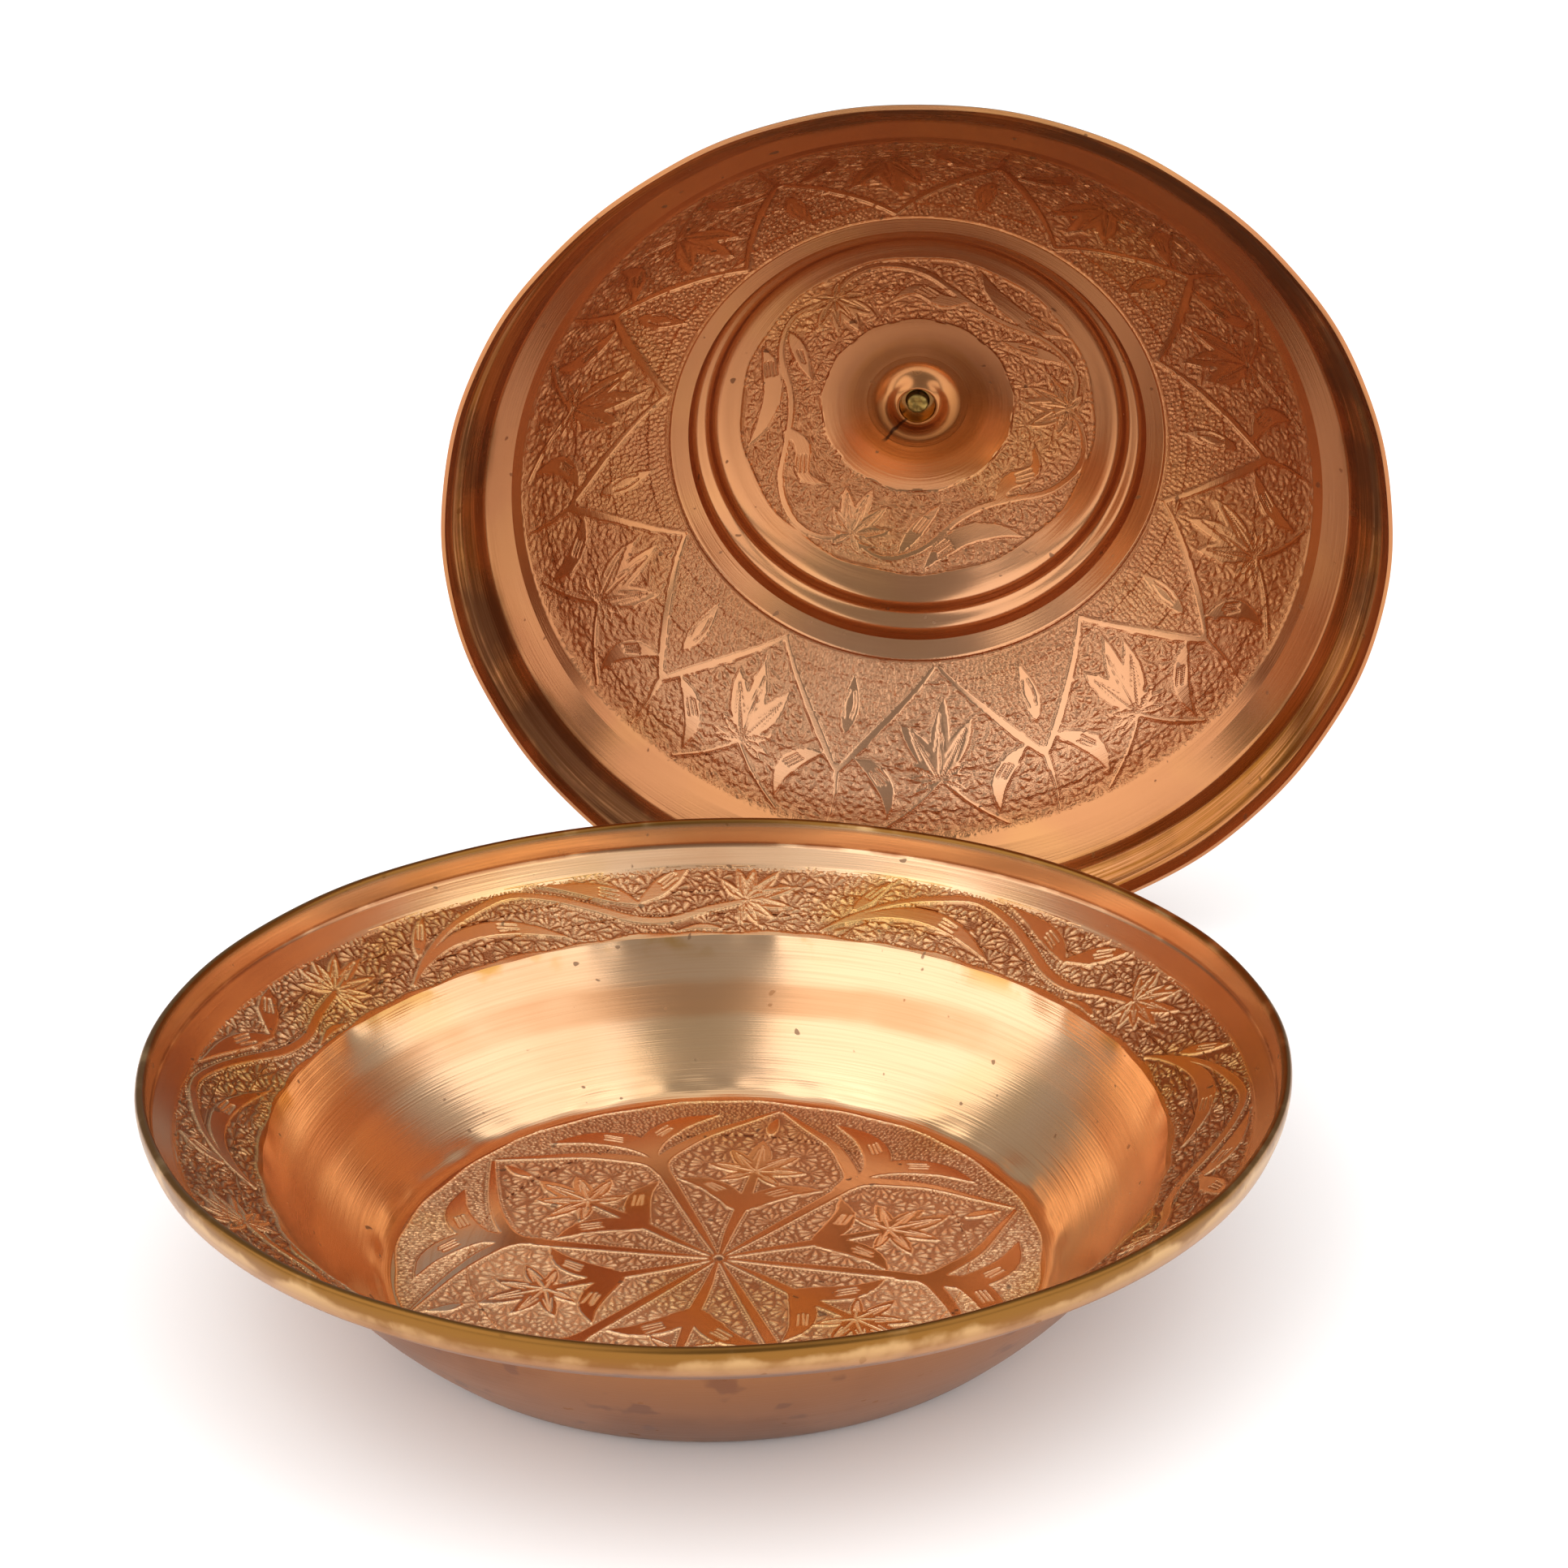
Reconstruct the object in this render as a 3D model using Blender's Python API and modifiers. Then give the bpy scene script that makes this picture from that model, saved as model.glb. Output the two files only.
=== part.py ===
"""Copper serving dish with a domed lid and a cast brass knob.

The dish stands on the ground, with the centre of its base at the origin. The lid stands on the
edge of its rim behind the dish and leans towards it, with its hollow side to the front.
Metres, +Z up.
"""

import math

import bmesh
import bpy
from mathutils import Vector

MM = 0.001
SHEET_STEPS = 64
KNOB_STEPS = 32
MERGE = 0.00001
CLEARANCE = 0.3 * MM
CREASE_ANGLE = math.radians(28)
EDGE_ANGLE = math.radians(75)

# Dish: driving dimensions. Widths are measured along the radius.
RIM_RADIUS = 120.0 * MM
DISH_HEIGHT = 51.6 * MM
DISH_SHEET = 1.2 * MM
LIP_HEIGHT = 6.2 * MM
LIP_WIDTH = 2.2 * MM
LIP_FLARE = 0.7 * MM
SEAT_WIDTH = 4.4 * MM
SEAT_SLOPE = math.radians(37.7)
FLANGE_WIDTH = 17.6 * MM
FLANGE_SLOPE = math.radians(30)
WALL_TOP_SLOPE = math.radians(66)
WALL_FOOT_SLOPE = math.radians(42)
WALL_FOOT_RADIUS = 73.3 * MM
WALL_FOOT_HEIGHT = 3.3 * MM
FLOOR_RADIUS = 68.9 * MM
WALL_POINTS = 6

# Lid: driving dimensions of its hollow face. Depths are measured from the rim.
LID_RADIUS = 113.5 * MM
LID_SHEET = 1.0 * MM
LID_LIP_WIDTH = 1.3 * MM
LID_LIP = [(112.2, 0.0), (112.2, 0.8), (110.9, 3.4)]
LID_SKIRT = [(109.0, 4.9), (106.0, 8.8), (104.1, 12.8), (98.0, 17.8)]
LID_SHOULDER_TOP = (93.7, 23.4)
LID_SHOULDER_FOOT = (62.0, 54.4)
LID_SHOULDER_BULGE = 2.6
LID_STEPS = [(57.5, 56.5), (56.2, 60.3), (53.0, 62.4), (51.3, 66.0), (45.6, 68.8)]
LID_CROWN = [(35.0, 73.2), (24.0, 76.8), (13.0, 78.9), (9.0, 78.6), (4.5, 77.4)]
SHOULDER_POINTS = 4

# Knob, along the lid's own axis. Heights are measured from the face that each piece sits on.
SEAT_HEIGHT = LID_CROWN[2][1] * MM + LID_SHEET + CLEARANCE
COLLAR_RADIUS = 12.5 * MM
COLLAR_THICKNESS = 1.5 * MM
TANG_RADIUS = 2.8 * MM
TANG_END = LID_CROWN[4][1] * MM + 0.4 * MM
TANG_IN_KNOB = 8.0 * MM
KNOB_FOOT_RADIUS = 9.5 * MM
KNOB_NECK_RADIUS = 4.6 * MM
KNOB_BALL_RADIUS = 10.5 * MM
KNOB_BALL_HEIGHT = 17.5 * MM
KNOB_TIP_RADIUS = 3.2 * MM
KNOB_ROUND = 0.4 * MM
BALL_POINTS = 7
TIP_POINTS = 5

# Where the lid stands.
LID_CENTRE_X = 47.0 * MM
LID_CENTRE_Y = 137.5 * MM
LID_LEAN = math.radians(10)
LID_TURN = math.radians(-2.8)


def clear_scene():
    for obj in list(bpy.data.objects):
        bpy.data.objects.remove(obj, do_unlink=True)


def make_material(name, colour, roughness):
    material = bpy.data.materials.new(name)
    material.use_nodes = True
    shader = material.node_tree.nodes["Principled BSDF"]
    shader.inputs["Base Color"].default_value = (*colour, 1.0)
    shader.inputs["Metallic"].default_value = 1.0
    shader.inputs["Roughness"].default_value = roughness
    return material


def in_metres(points):
    return [(radius * MM, height * MM) for radius, height in points]


def curve_through(start, control, end, count):
    """Points along the quadratic curve from start to end, both left out."""
    points = []
    for i in range(1, count + 1):
        t = i / (count + 1)
        point = (1 - t) ** 2 * Vector(start) + 2 * t * (1 - t) * Vector(control) + t * t * Vector(end)
        points.append(tuple(point))
    return points


def arc(centre, radius, first_angle, last_angle, count):
    points = []
    for i in range(count):
        angle = first_angle + (last_angle - first_angle) * i / (count - 1)
        points.append((centre[0] + radius * math.cos(angle), centre[1] + radius * math.sin(angle)))
    return points


def meeting_point(first, first_slope, second, second_slope):
    """Where a line through first, at a slope, meets a line through second, at another."""
    rise = math.tan(first_slope)
    other_rise = math.tan(second_slope)
    x = (second[1] - first[1] + rise * first[0] - other_rise * second[0]) / (rise - other_rise)
    return (x, first[1] + rise * (x - first[0]))


def turned_object(name, profile, steps, material, collection, closed=False):
    """An object whose profile, in the XZ plane, is turned about Z."""
    mesh = bpy.data.meshes.new(name)
    line = bmesh.new()
    points = [line.verts.new((radius, 0, height)) for radius, height in profile]
    for first, second in zip(points, points[1:]):
        line.edges.new((first, second))
    if closed:
        line.edges.new((points[-1], points[0]))
    line.to_mesh(mesh)
    line.free()
    mesh.materials.append(material)
    obj = bpy.data.objects.new(name, mesh)
    collection.objects.link(obj)
    turn = obj.modifiers.new("turn", "SCREW")
    turn.axis = "Z"
    turn.angle = math.tau
    turn.steps = steps
    turn.render_steps = steps
    turn.use_merge_vertices = True
    turn.merge_threshold = MERGE
    return obj


def round_edges(obj, width):
    bevel = obj.modifiers.new("round edges", "BEVEL")
    bevel.width = width
    bevel.segments = 2
    bevel.limit_method = "ANGLE"
    bevel.angle_limit = EDGE_ANGLE


def finish_shape(obj):
    """Keeps the modifiers' shape as the object's own mesh, smooth except at its creases."""
    graph = bpy.context.evaluated_depsgraph_get()
    mesh = bpy.data.meshes.new_from_object(obj.evaluated_get(graph))
    mesh.shade_smooth()
    mesh.set_sharp_from_angle(angle=CREASE_ANGLE)
    line = obj.data
    name = line.name
    obj.modifiers.clear()
    obj.data = mesh
    bpy.data.meshes.remove(line)
    mesh.name = name


def sheet_object(name, profile, lip_points, thickness, lip_width, material, collection):
    """A raised sheet: the profile is its hollow face, and lip_points of it are thicker."""
    obj = turned_object(name, profile, SHEET_STEPS, material, collection)
    lip = obj.vertex_groups.new(name="lip")
    lip.add(lip_points, 1.0, "REPLACE")
    sheet = obj.modifiers.new("sheet", "SOLIDIFY")
    sheet.thickness = lip_width
    sheet.thickness_vertex_group = thickness / lip_width
    sheet.vertex_group = lip.name
    sheet.offset = -1
    sheet.use_even_offset = True
    round_edges(obj, 0.4 * lip_width)
    finish_shape(obj)
    return obj


def dish_line():
    """The dish's hollow face, from the centre of the floor to the top of the lip."""
    lip_top = (RIM_RADIUS - LIP_WIDTH, DISH_HEIGHT)
    crease = (lip_top[0] - LIP_FLARE, DISH_HEIGHT - LIP_HEIGHT)
    seat = (crease[0] - SEAT_WIDTH, crease[1] - SEAT_WIDTH * math.tan(SEAT_SLOPE))
    flange = (seat[0] - FLANGE_WIDTH, seat[1] - FLANGE_WIDTH * math.tan(FLANGE_SLOPE))
    foot = (WALL_FOOT_RADIUS, WALL_FOOT_HEIGHT)
    control = meeting_point(flange, WALL_TOP_SLOPE, foot, WALL_FOOT_SLOPE)
    wall = curve_through(foot, control, flange, WALL_POINTS)
    floor = [(0, DISH_SHEET), (FLOOR_RADIUS, DISH_SHEET)]
    return [*floor, foot, *wall, flange, seat, crease, lip_top]


def lid_line():
    """The lid's hollow face, from its rim to the hole in the crown."""
    across = Vector(LID_SHOULDER_FOOT) - Vector(LID_SHOULDER_TOP)
    outwards = Vector((across.y, -across.x)).normalized()
    middle = (Vector(LID_SHOULDER_TOP) + Vector(LID_SHOULDER_FOOT)) / 2
    control = middle + outwards * (2 * LID_SHOULDER_BULGE)
    shoulder = curve_through(LID_SHOULDER_TOP, control, LID_SHOULDER_FOOT, SHOULDER_POINTS)
    shoulder = [LID_SHOULDER_TOP, *shoulder, LID_SHOULDER_FOOT]
    return in_metres([*LID_LIP, *LID_SKIRT, *shoulder, *LID_STEPS, *LID_CROWN])


def knob_line(base):
    """The knob's section, from its tip down to the blind hole in its foot."""
    ball_centre = (0, base + KNOB_BALL_HEIGHT)
    tip_centre = (0, ball_centre[1] + KNOB_BALL_RADIUS + KNOB_TIP_RADIUS / 2)
    tip = arc(tip_centre, KNOB_TIP_RADIUS, math.radians(90), math.radians(-30), TIP_POINTS)
    ball = arc(ball_centre, KNOB_BALL_RADIUS, math.radians(68), math.radians(-58), BALL_POINTS)
    hole_radius = TANG_RADIUS + CLEARANCE
    hole_top = base + TANG_IN_KNOB + CLEARANCE
    neck_foot = base + KNOB_FOOT_RADIUS - KNOB_NECK_RADIUS
    foot_edge = base + 0.12 * KNOB_FOOT_RADIUS
    cove = curve_through(
        (KNOB_NECK_RADIUS, neck_foot), (KNOB_NECK_RADIUS, foot_edge), (KNOB_FOOT_RADIUS, foot_edge), 2
    )
    neck_top = ball_centre[1] - KNOB_BALL_RADIUS
    return [
        *tip,
        *ball,
        (KNOB_NECK_RADIUS, neck_top),
        (KNOB_NECK_RADIUS, neck_foot),
        *cove,
        (KNOB_FOOT_RADIUS, foot_edge),
        (KNOB_FOOT_RADIUS, base),
        (hole_radius, base),
        (hole_radius, hole_top),
        (0, hole_top),
    ]


def washer_line(base, hole_radius, outer_radius, thickness):
    top = base + thickness
    return [(hole_radius, top), (outer_radius, top), (outer_radius, base), (hole_radius, base)]


def rod_line(top, bottom, radius):
    return [(0, top), (radius, top), (radius, bottom), (0, bottom)]


def build():
    clear_scene()
    collection = bpy.data.collections.new("lidded_copper_dish")
    bpy.context.scene.collection.children.link(collection)
    dish_copper = make_material("dish_copper", (0.76, 0.40, 0.22), 0.28)
    lid_copper = make_material("lid_copper", (0.58, 0.27, 0.14), 0.34)
    brass = make_material("knob_brass", (0.72, 0.52, 0.22), 0.30)
    old_brass = make_material("tang_brass", (0.50, 0.40, 0.19), 0.50)

    dish = dish_line()
    lip_top = [len(dish) - 1]
    sheet_object("dish_shell", dish, lip_top, DISH_SHEET, LIP_WIDTH, dish_copper, collection)

    stand = bpy.data.objects.new("lid_stand", None)
    stand.location = (LID_CENTRE_X, LID_CENTRE_Y, LID_RADIUS * math.cos(LID_LEAN))
    stand.rotation_euler = (LID_LEAN - math.pi / 2, 0, LID_TURN)
    collection.objects.link(stand)

    lid = sheet_object(
        "lid_shell", lid_line(), [0, 1], LID_SHEET, LID_LIP_WIDTH, lid_copper, collection
    )

    washer = washer_line(SEAT_HEIGHT, TANG_RADIUS + CLEARANCE, COLLAR_RADIUS, COLLAR_THICKNESS)
    collar = turned_object("knob_collar", washer, KNOB_STEPS, brass, collection, closed=True)
    knob_base = SEAT_HEIGHT + COLLAR_THICKNESS + CLEARANCE
    knob = turned_object("lid_knob", knob_line(knob_base), KNOB_STEPS, brass, collection)
    rod = rod_line(knob_base + TANG_IN_KNOB, TANG_END, TANG_RADIUS)
    tang = turned_object("knob_tang", rod, KNOB_STEPS, old_brass, collection)
    for piece in (collar, knob, tang):
        round_edges(piece, KNOB_ROUND)
        finish_shape(piece)

    for piece in (lid, collar, knob, tang):
        piece.parent = stand


build()
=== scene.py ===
"""The looks of the lidded copper dish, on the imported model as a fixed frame.

Patterns are laid out in millimetres. A relief is a height map over a disc or over a ring of the
turned sheet; its plain motifs stay level and the ground round them is punched down.
"""

import math

import bpy
import numpy as np
from mathutils import Euler, Matrix, Vector


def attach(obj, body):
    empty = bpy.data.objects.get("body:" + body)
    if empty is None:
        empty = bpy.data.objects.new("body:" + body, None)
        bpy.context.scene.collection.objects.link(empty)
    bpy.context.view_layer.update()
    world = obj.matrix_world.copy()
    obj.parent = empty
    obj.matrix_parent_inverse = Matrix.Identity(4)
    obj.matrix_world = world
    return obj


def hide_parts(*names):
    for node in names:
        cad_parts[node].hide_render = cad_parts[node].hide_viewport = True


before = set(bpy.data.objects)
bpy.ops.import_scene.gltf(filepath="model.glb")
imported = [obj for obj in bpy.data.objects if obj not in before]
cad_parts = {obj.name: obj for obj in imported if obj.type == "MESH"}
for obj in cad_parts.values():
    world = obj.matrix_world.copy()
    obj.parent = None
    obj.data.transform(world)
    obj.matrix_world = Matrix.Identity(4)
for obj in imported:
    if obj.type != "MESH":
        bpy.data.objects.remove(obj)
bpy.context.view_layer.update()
SEED = 7
rng = np.random.default_rng(SEED)

MM = 0.001
# In millimetres: how far from a motif its distance is worked out, what stands for it beyond
# that, and how far past its edge a stroke is worked out.
FIELD_REACH = 3.0
FAR = 9.0
STROKE_REACH = 0.3

# Sheet of the dish, in millimetres: (radius, height) along the hollow face. The floor, the wall
# and the flange are INLAY thick, and lie on the body, which has the rest of the sheet's thickness.
DISH_SHEET = 1.2
INLAY = 0.6
FLOOR_HEIGHT = 1.2
FLOOR_EDGE = (70.0, FLOOR_HEIGHT)
FLOOR_BEND = (72.0, 1.7)
WALL_FOOT = (73.3, 3.3)
WALL_BEND = (88.4, 16.9)
WALL_TOP = (95.1, 31.9)
FLANGE_TOP = (112.7, 42.0)
LIP_CREASE = (117.1, 45.4)
LIP = [LIP_CREASE, (117.3, 47.6), (117.7, 50.2), (118.1, 51.3), (118.9, 51.6), (119.7, 51.2),
       (119.95, 50.0), (119.6, 47.6), (118.6, 45.0)]
UNDER_LIP = 44.4

# Lid: its place, and its hollow face as (radius, depth behind the rim).
LID_SHEET = 1.0
LID_CENTRE = Vector((47.0, 137.5, 111.77)) * MM
LID_TURN = Euler((math.radians(-80), 0, math.radians(-2.8)))
LID_SKIRT = [(112.2, 0.0), (112.0, 0.8), (110.9, 3.4), (109.0, 4.9), (106.0, 8.8), (104.1, 12.8),
             (98.0, 17.8)]
SHOULDER_TOP = (93.7, 23.4)
SHOULDER_BEND = (81.4, 42.4)
SHOULDER_FOOT = (62.0, 54.4)
BAND_FOOT = (57.5, 56.5)
LID_STEPS = [BAND_FOOT, (56.2, 60.3), (53.0, 62.4), (51.3, 66.0), (45.6, 68.8)]
LID_CROWN = [(45.6, 68.8), (35.0, 73.2), (24.0, 76.8), (18.0, 78.2), (13.0, 78.9)]
LID_BOSS = [(13.0, 78.9), (10.5, 79.0), (8.0, 78.3), (6.0, 77.0), (4.9, 76.6), (4.5, 77.3)]

# Knob, on the lid's own axis: the faces it and its collar sit on, and the rod through both.
COLLAR_SEAT = 80.0
COLLAR_RADIUS = 12.5
KNOB_SEAT = 81.8
TANG_END = 77.8
TANG_RADIUS = 2.8
TANG_HOLE = 3.1

# Radius at which a turned section closes on its axis.
AXIS = 0.05


def curve(start, control, end, count):
    """Points on a curve that leaves its start, and reaches its end, towards the control point."""
    t = np.linspace(0, 1, count)[:, None]
    a, b, c = (np.array(p, float) for p in (start, control, end))
    return (1 - t) ** 2 * a + 2 * t * (1 - t) * b + t * t * c


def resample(points, step):
    """The line through the points, with a point every step or slightly less."""
    points = np.array(points, float)
    length = np.concatenate([[0], np.cumsum(np.linalg.norm(np.diff(points, axis=0), axis=1))])
    count = max(2, math.ceil(length[-1] / step) + 1)
    at = np.linspace(0, length[-1], count)
    return np.stack([np.interp(at, length, points[:, i]) for i in range(points.shape[1])], 1)


def through(points, count=6):
    """A smooth line through the points, with count steps between each two."""
    points = np.array(points, float)
    ends = np.concatenate([[2 * points[0] - points[1]], points, [2 * points[-1] - points[-2]]])
    out = []
    for a, b, c, d in zip(ends, ends[1:], ends[2:], ends[3:]):
        square = 2 * a - 5 * b + 4 * c - d
        cube = 3 * b - a - 3 * c + d
        for t in np.arange(count) / count:
            out.append(0.5 * (2 * b + (c - a) * t + square * t**2 + cube * t**3))
    return np.array([*out, points[-1]])


def share(values):
    """The values, kept between 0 and 1."""
    return np.clip(values, 0, 1)


def full_turn(count):
    """Angles, evenly spaced round a full turn."""
    return np.arange(count) / count * math.tau


def normals_of(profile):
    """Unit normals of a profile, to the right of its direction."""
    along = np.gradient(profile, axis=0)
    along /= np.linalg.norm(along, axis=1)[:, None]
    return np.stack([along[:, 1], -along[:, 0]], 1)


class Relief:
    """A height map. Rows follow v and columns follow u; stretch is each row's millimetres per u."""

    def __init__(self, columns, rows, stretch, wraps):
        self.columns = columns
        self.rows = rows
        self.stretch = stretch
        self.wraps = wraps
        self.row_step = rows[1] - rows[0]
        self.column_step = columns[1] - columns[0]
        shape = (len(rows), len(columns))
        self.motif = np.full(shape, FAR)
        self.cut = np.zeros(shape)
        self.punch = np.zeros(shape)
        self.edges = []

    def window(self, u, v, reach):
        """The cells within reach of a point, and their offsets from it in millimetres."""
        first = max(0, math.floor((v - reach - self.rows[0]) / self.row_step))
        last = min(len(self.rows), math.ceil((v + reach - self.rows[0]) / self.row_step) + 1)
        if first >= last:
            return None
        stretch = self.stretch[first:last, None]
        half = math.ceil(reach / (self.column_step * stretch.min())) + 1
        middle = round((u - self.columns[0]) / self.column_step)
        cells = np.arange(middle - half, middle + half + 1)
        across = (self.columns[0] + cells * self.column_step - u) * stretch
        if self.wraps:
            cells %= len(self.columns)
        else:
            inside = (cells >= 0) & (cells < len(self.columns))
            cells, across = cells[inside], across[:, inside]
        along = (self.rows[first:last] - v)[:, None]
        return np.ix_(np.arange(first, last), cells), across, along

    def segment(self, a, b, half_a, half_b, reach):
        """The cells round a tapered segment and their distance from its edge, less than 0 inside."""
        u, v = (a[0] + b[0]) / 2, (a[1] + b[1]) / 2
        stretch = np.interp(v, self.rows, self.stretch)
        x, y = (b[0] - a[0]) / 2 * stretch, (b[1] - a[1]) / 2
        square = max(x * x + y * y, 1e-9)
        found = self.window(u, v, math.sqrt(square) + max(half_a, half_b) + reach)
        if found is None:
            return None
        cells, across, along = found
        t = np.clip((across * x + along * y) / square, -1, 1)
        away = np.hypot(across - t * x, along - t * y)
        return cells, away - (half_a + half_b) / 2 - t * (half_b - half_a) / 2

    def shape(self, line, halves):
        """Adds a plain motif along a line, with its half width at each point."""
        for a, b, half_a, half_b in zip(line, line[1:], halves, halves[1:]):
            found = self.segment(a, b, half_a, half_b, FIELD_REACH)
            if found:
                cells, away = found
                self.motif[cells] = np.minimum(self.motif[cells], away)

    def groove(self, line, half, depth):
        """Cuts a groove along a line."""
        for a, b in zip(line, line[1:]):
            found = self.segment(a, b, half, half, STROKE_REACH)
            if found:
                cells, away = found
                value = depth * share(-away / half)
                self.cut[cells] = np.maximum(self.cut[cells], value)

    def lobe(self, a, b, half_a, half_b, height):
        """Raises one rounded punch stroke out of the ground."""
        found = self.segment(a, b, half_a, half_b, STROKE_REACH)
        if found:
            cells, away = found
            value = height * np.sqrt(share(-away / max(half_a, half_b)))
            self.punch[cells] = np.maximum(self.punch[cells], value)

    def at(self, layer, u, v):
        """A layer's value in the cell nearest to a point."""
        row = np.clip(round((v - self.rows[0]) / self.row_step), 0, len(self.rows) - 1)
        column = round((u - self.columns[0]) / self.column_step)
        if self.wraps:
            return layer[row, column % len(self.columns)]
        return layer[row, min(max(column, 0), len(self.columns) - 1)]


def moved(relief, point, angle, distance):
    """The point at a distance in millimetres from another, in a direction."""
    stretch = np.interp(point[1], relief.rows, relief.stretch)
    return (point[0] + math.cos(angle) * distance / stretch, point[1] + math.sin(angle) * distance)


def leaf(relief, line, half, strokes=0, stroke_at=0.55, taper=0.8):
    """A plain pointed leaf along a line, with short tool strokes along it."""
    line = through(line, 4)
    t = np.linspace(0, 1, len(line))
    relief.shape(line, half * np.sin(math.pi * share(t) ** taper) ** 0.9 + 0.12)
    middle = int(stroke_at * (len(line) - 1))
    a, b = line[max(middle - 1, 0)], line[min(middle + 1, len(line) - 1)]
    stretch = np.interp(a[1], relief.rows, relief.stretch)
    heading = math.atan2(b[1] - a[1], (b[0] - a[0]) * stretch)
    for i in range(strokes):
        side = (i - (strokes - 1) / 2) * 0.95
        start = moved(relief, line[middle], heading + math.pi / 2, side)
        start = moved(relief, start, heading, rng.uniform(-1.8, -0.6))
        relief.groove([start, moved(relief, start, heading + rng.uniform(-0.1, 0.1), 4.2)], 0.32, 0.3)


def ribbon(relief, line, half):
    """A plain ribbon along a line, to be edged with punch marks."""
    line = through(line, 4)
    if np.isscalar(half):
        half = [half, half]
    halves = np.interp(np.linspace(0, 1, len(line)), np.linspace(0, 1, len(half)), half)
    relief.shape(line, halves)
    stretch = np.interp(line[:, 1], relief.rows, relief.stretch)
    flat = np.stack([line[:, 0] * stretch, line[:, 1]], 1)
    side = normals_of(flat)
    for sign in (-1, 1):
        away = sign * side * (halves[:, None] + 0.5)
        relief.edges.append(line + away / np.stack([stretch, np.ones(len(line))], 1))


def edging(relief):
    """Small raised beads down both edges of every ribbon, where they stand on the ground."""
    for edge in relief.edges:
        stretch = np.interp(edge[:, 1].mean(), relief.rows, relief.stretch)
        for u, v in resample(edge * [stretch, 1], 0.95):
            point = (u / stretch, v)
            if relief.at(relief.motif, *point) > 0.25:
                found = relief.window(*point, 0.7)
                if found:
                    cells, across, along = found
                    near = np.hypot(across, along) < 0.6
                    relief.punch[cells] = np.where(near, 0, relief.punch[cells])
                relief.lobe(point, moved(relief, point, rng.uniform(0, math.tau), 0.15), 0.34, 0.34, 0.9)


def flower(relief, centre, heading, petals):
    """Leaves round a point, with strokes: (degrees from the heading, length, half width) each."""
    for direction, length, half in petals:
        angle = math.radians(heading + direction + rng.uniform(-4, 4))
        bend = math.radians(rng.uniform(-12, 12))
        middle = moved(relief, centre, angle, length * 0.5)
        tip = moved(relief, middle, angle + bend, length * 0.5)
        leaf(relief, [moved(relief, centre, angle, 0.4), middle, tip], half, taper=0.9)
        vein = [moved(relief, centre, angle, 0.5), moved(relief, centre, angle, length * 0.8)]
        relief.groove(vein, 0.28, 0.28)
        shoulder = moved(relief, centre, angle, length * 0.35)
        for side in (-1, 1):
            start = moved(relief, shoulder, angle + side * math.pi / 2, half * 0.45)
            end = moved(relief, start, angle - side * 0.12, length * 0.35)
            relief.groove([start, end], 0.22, 0.2)


def fan(relief, base, angle, size):
    """A half rosette of raised punch strokes that covers what is under it."""
    found = relief.window(*base, size)
    if found is None:
        return
    cells, across, along = found
    ahead = across * math.cos(angle) + along * math.sin(angle) > -0.2 * size
    under = ahead & (np.hypot(across, along) < size)
    relief.punch[cells] = np.where(under, 0, relief.punch[cells])
    count = rng.integers(5, 8)
    half = size * 2.5 / count * 0.42
    for i in range(count):
        spread = angle + (i / (count - 1) - 0.5) * math.radians(165) + rng.uniform(-0.06, 0.06)
        inner = moved(relief, base, spread, size * 0.16)
        outer = moved(relief, base, spread, size * rng.uniform(0.9, 1.02) - half)
        relief.lobe(inner, outer, 0.2, half, rng.uniform(0.75, 1.0))


def staggered(relief, rows, spacing, beside, along):
    """Points over a relief in staggered rows, each moved by a random share of the spacing."""
    width = relief.columns[-1] - relief.columns[0]
    for number, v in enumerate(rows):
        steps = max(1, int(width * np.interp(v, relief.rows, relief.stretch) / spacing))
        for i in range(steps):
            shift = i + 0.5 * (number % 2) + rng.uniform(-beside, beside)
            u = relief.columns[0] + shift * width / steps
            yield u, v + rng.uniform(-along, along) * spacing


def fans(relief, keep, spacing, size):
    """Fans over the ground, standing on the motifs and pointing away from them."""
    down, right = np.gradient(relief.motif)
    rows = np.arange(relief.rows[0] + spacing / 3, relief.rows[-1], spacing * 0.72)
    for point in staggered(relief, rows, spacing, 0.2, 0.15):
        away = relief.at(relief.motif, *point)
        if away < 0.5 or not keep(*point):
            continue
        x, y = relief.at(right, *point), relief.at(down, *point)
        angle = math.atan2(y, x) if math.hypot(x, y) > 0.01 else rng.uniform(0, math.tau)
        angle += rng.uniform(-0.4, 0.4)
        base = moved(relief, point, angle, -min(size * 0.6, away - 0.1))
        fan(relief, base, angle, size * rng.uniform(0.88, 1.12))


def stipple(relief, heading, spacing, half, length):
    """Small strokes over the ground, where heading gives an angle other than 0."""
    rows = np.arange(relief.rows[0], relief.rows[-1], spacing)
    for point in staggered(relief, rows, spacing, 0.3, 0.25):
        if heading(*point) and relief.at(relief.motif, *point) > 0.15:
            angle = rng.uniform(-0.5, 0.5) + heading(*point)
            relief.lobe(point, moved(relief, point, angle, length), half, half, 0.85)


def blurred(layer, wraps):
    """The layer, with each cell mixed with those beside it."""
    pad = np.pad(layer, ((1, 1), (0, 0)), mode="edge")
    layer = (pad[:-2] + 2 * pad[1:-1] + pad[2:]) / 4
    pad = np.pad(layer, ((0, 0), (1, 1)), mode="wrap" if wraps else "edge")
    return (pad[:, :-2] + 2 * pad[:, 1:-1] + pad[:, 2:]) / 4


DISH_GRAIN = 0.03
LID_GRAIN = 0.05


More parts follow.
